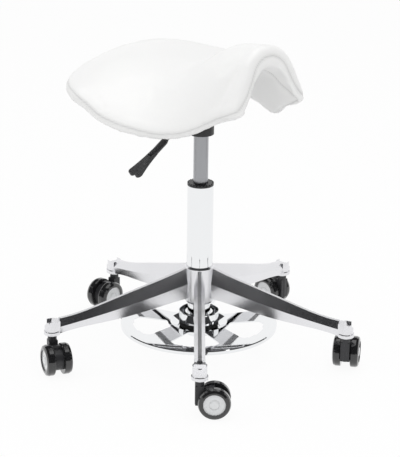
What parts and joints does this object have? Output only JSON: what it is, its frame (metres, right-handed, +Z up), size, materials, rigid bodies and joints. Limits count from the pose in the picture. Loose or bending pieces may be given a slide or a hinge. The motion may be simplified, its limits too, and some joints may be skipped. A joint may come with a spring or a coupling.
{
  "type": "saddle stool",
  "caption": "Saddle stool with a white padded saddle seat on a height-adjustable column, a foot ring, a tilt lever and a five-arm castor base.",
  "frame": {"origin": "on the floor, on the column's axis", "axes": "+X towards the saddle's front (pommel), +Y to the rider's left, +Z up along the column"},
  "size_m": [0.588, 0.6191, 0.6469],
  "materials": {
    "polished_aluminium": "polished",
    "chrome": "mirror bright",
    "satin_steel": "satin",
    "steel": "plain zinc",
    "black_metal": "satin black powder coat",
    "black_plastic": "matt black",
    "castor_body": "matt charcoal",
    "castor_tread": "gloss black",
    "castor_disc": "light grey gloss",
    "rubber": "matt",
    "plywood": "moulded plywood",
    "foam": "open-cell foam",
    "white_leatherette": "soft semi-gloss leatherette"
  },
  "bodies": {
    "base": {"star_base": "polished_aluminium", "outer_tube": "chrome", "column_collar": "black_plastic", "guide_bush": "black_plastic", "foot_clamp": "chrome", "clamp_screws": "steel", "seal_ring": "rubber", "pivot_ball": "steel"},
    "spindle": {"piston_rod": "chrome", "thrust_bearing": "steel", "rod_clip": "steel", "rod_bumper": "rubber"},
    "valve_pin": {"release_pin": "steel"},
    "rocker": {"pivot_liner": "black_plastic"},
    "foot_ring": {"foot_ring": "chrome", "push_cap": "chrome"},
    "lift": {"gas_cylinder": "satin_steel", "tilt_bracket": "black_metal", "tilt_pin": "steel", "lever_pivot": "steel"},
    "lever": {"lever_rod": "black_metal", "lever_grip": "black_plastic"},
    "seat": {"seat_plate": "black_metal", "seat_bolts": "steel", "t_nuts": "steel", "seat_shell": "plywood", "seat_foam": "foam", "seat_cover": "white_leatherette", "side_band": "white_leatherette", "under_cover": "white_leatherette"},
    "castor_1": {"castor_1_housing": "castor_body", "castor_1_pins": "steel"},
    "castor_1_wheel_a": {"castor_1_tyre_a": "castor_tread", "castor_1_disc_a": "castor_disc"},
    "castor_1_wheel_b": {"castor_1_tyre_b": "castor_tread", "castor_1_disc_b": "castor_disc"},
    "castor_2": {"castor_2_housing": "castor_body", "castor_2_pins": "steel"},
    "castor_2_wheel_a": {"castor_2_tyre_a": "castor_tread", "castor_2_disc_a": "castor_disc"},
    "castor_2_wheel_b": {"castor_2_tyre_b": "castor_tread", "castor_2_disc_b": "castor_disc"},
    "castor_3": {"castor_3_housing": "castor_body", "castor_3_pins": "steel"},
    "castor_3_wheel_a": {"castor_3_tyre_a": "castor_tread", "castor_3_disc_a": "castor_disc"},
    "castor_3_wheel_b": {"castor_3_tyre_b": "castor_tread", "castor_3_disc_b": "castor_disc"},
    "castor_4": {"castor_4_housing": "castor_body", "castor_4_pins": "steel"},
    "castor_4_wheel_a": {"castor_4_tyre_a": "castor_tread", "castor_4_disc_a": "castor_disc"},
    "castor_4_wheel_b": {"castor_4_tyre_b": "castor_tread", "castor_4_disc_b": "castor_disc"},
    "castor_5": {"castor_5_housing": "castor_body", "castor_5_pins": "steel"},
    "castor_5_wheel_a": {"castor_5_tyre_a": "castor_tread", "castor_5_disc_a": "castor_disc"},
    "castor_5_wheel_b": {"castor_5_tyre_b": "castor_tread", "castor_5_disc_b": "castor_disc"}
  },
  "joints": [
    {"name": "seat_swivel", "type": "hinge", "parent": "base", "child": "spindle", "pos_m": [0, 0, 0.0732], "axis": [0, 0, 1], "continuous": true},
    {"name": "seat_height", "type": "slide", "parent": "spindle", "child": "lift", "axis": [0, 0, 1], "range_m": [-0.085, 0.055]},
    {"name": "valve_press", "type": "slide", "parent": "spindle", "child": "valve_pin", "axis": [0, 0, 1], "range_m": [0, 0.0025], "stiffness_N_per_m": 1500, "springref_m": -0.002},
    {"name": "foot_ring_rock_side", "type": "hinge", "parent": "base", "child": "rocker", "pos_m": [0, 0, 0.055], "axis": [1, 0, 0], "range_deg": [-2.5, 2.5], "stiffness_Nm_per_rad": 120},
    {"name": "foot_ring_rock_front", "type": "hinge", "parent": "rocker", "child": "foot_ring", "pos_m": [0, 0, 0.055], "axis": [0, 1, 0], "range_deg": [-2.5, 2.5], "stiffness_Nm_per_rad": 120},
    {"name": "seat_tilt", "type": "hinge", "parent": "lift", "child": "seat", "pos_m": [-0.01, 0, 0.486], "axis": [0, 1, 0], "range_deg": [-8, 12]},
    {"name": "tilt_lever", "type": "hinge", "parent": "lift", "child": "lever", "pos_m": [0.018, -0.022, 0.485], "axis": [-1, 0, 0], "range_deg": [0, 8], "stiffness_Nm_per_rad": 6, "springref_deg": -8.59},
    {"name": "castor_1_swivel", "type": "hinge", "parent": "base", "child": "castor_1", "pos_m": [0.21563, -0.1969, 0.07], "axis": [0, 0, 1], "continuous": true},
    {"name": "castor_1_wheel_a_spin", "type": "hinge", "parent": "castor_1", "child": "castor_1_wheel_a", "pos_m": [0.23404, -0.17715, 0.03], "axis": [-0.7314, 0.682, 0], "continuous": true},
    {"name": "castor_1_wheel_b_spin", "type": "hinge", "parent": "castor_1", "child": "castor_1_wheel_b", "pos_m": [0.23404, -0.17715, 0.03], "axis": [-0.7314, 0.682, 0], "continuous": true},
    {"name": "castor_2_swivel", "type": "hinge", "parent": "base", "child": "castor_2", "pos_m": [0.25389, 0.14423, 0.07], "axis": [0, 0, 1], "continuous": true},
    {"name": "castor_2_wheel_a_spin", "type": "hinge", "parent": "castor_2", "child": "castor_2_wheel_a", "pos_m": [0.23764, 0.16579, 0.03], "axis": [-0.7986, -0.6018, 0], "continuous": true},
    {"name": "castor_2_wheel_b_spin", "type": "hinge", "parent": "castor_2", "child": "castor_2_wheel_b", "pos_m": [0.23764, 0.16579, 0.03], "axis": [-0.7986, -0.6018, 0], "continuous": true},
    {"name": "castor_3_swivel", "type": "hinge", "parent": "base", "child": "castor_3", "pos_m": [-0.05872, 0.28604, 0.07], "axis": [0, 0, 1], "continuous": true},
    {"name": "castor_3_wheel_a_spin", "type": "hinge", "parent": "castor_3", "child": "castor_3_wheel_a", "pos_m": [-0.0857, 0.28509, 0.03], "axis": [0.0349, -0.9994, 0], "continuous": true},
    {"name": "castor_3_wheel_b_spin", "type": "hinge", "parent": "castor_3", "child": "castor_3_wheel_b", "pos_m": [-0.0857, 0.28509, 0.03], "axis": [0.0349, -0.9994, 0], "continuous": true},
    {"name": "castor_4_swivel", "type": "hinge", "parent": "base", "child": "castor_4", "pos_m": [-0.29018, 0.03255, 0.07], "axis": [0, 0, 1], "continuous": true},
    {"name": "castor_4_wheel_a_spin", "type": "hinge", "parent": "castor_4", "child": "castor_4_wheel_a", "pos_m": [-0.28783, 0.00565, 0.03], "axis": [0.9962, 0.0872, 0], "continuous": true},
    {"name": "castor_4_wheel_b_spin", "type": "hinge", "parent": "castor_4", "child": "castor_4_wheel_b", "pos_m": [-0.28783, 0.00565, 0.03], "axis": [0.9962, 0.0872, 0], "continuous": true},
    {"name": "castor_5_swivel", "type": "hinge", "parent": "base", "child": "castor_5", "pos_m": [-0.12063, -0.26592, 0.07], "axis": [0, 0, 1], "continuous": true},
    {"name": "castor_5_wheel_a_spin", "type": "hinge", "parent": "castor_5", "child": "castor_5_wheel_a", "pos_m": [-0.09559, -0.27603, 0.03], "axis": [0.3746, 0.9272, 0], "continuous": true},
    {"name": "castor_5_wheel_b_spin", "type": "hinge", "parent": "castor_5", "child": "castor_5_wheel_b", "pos_m": [-0.09559, -0.27603, 0.03], "axis": [0.3746, 0.9272, 0], "continuous": true}
  ]
}
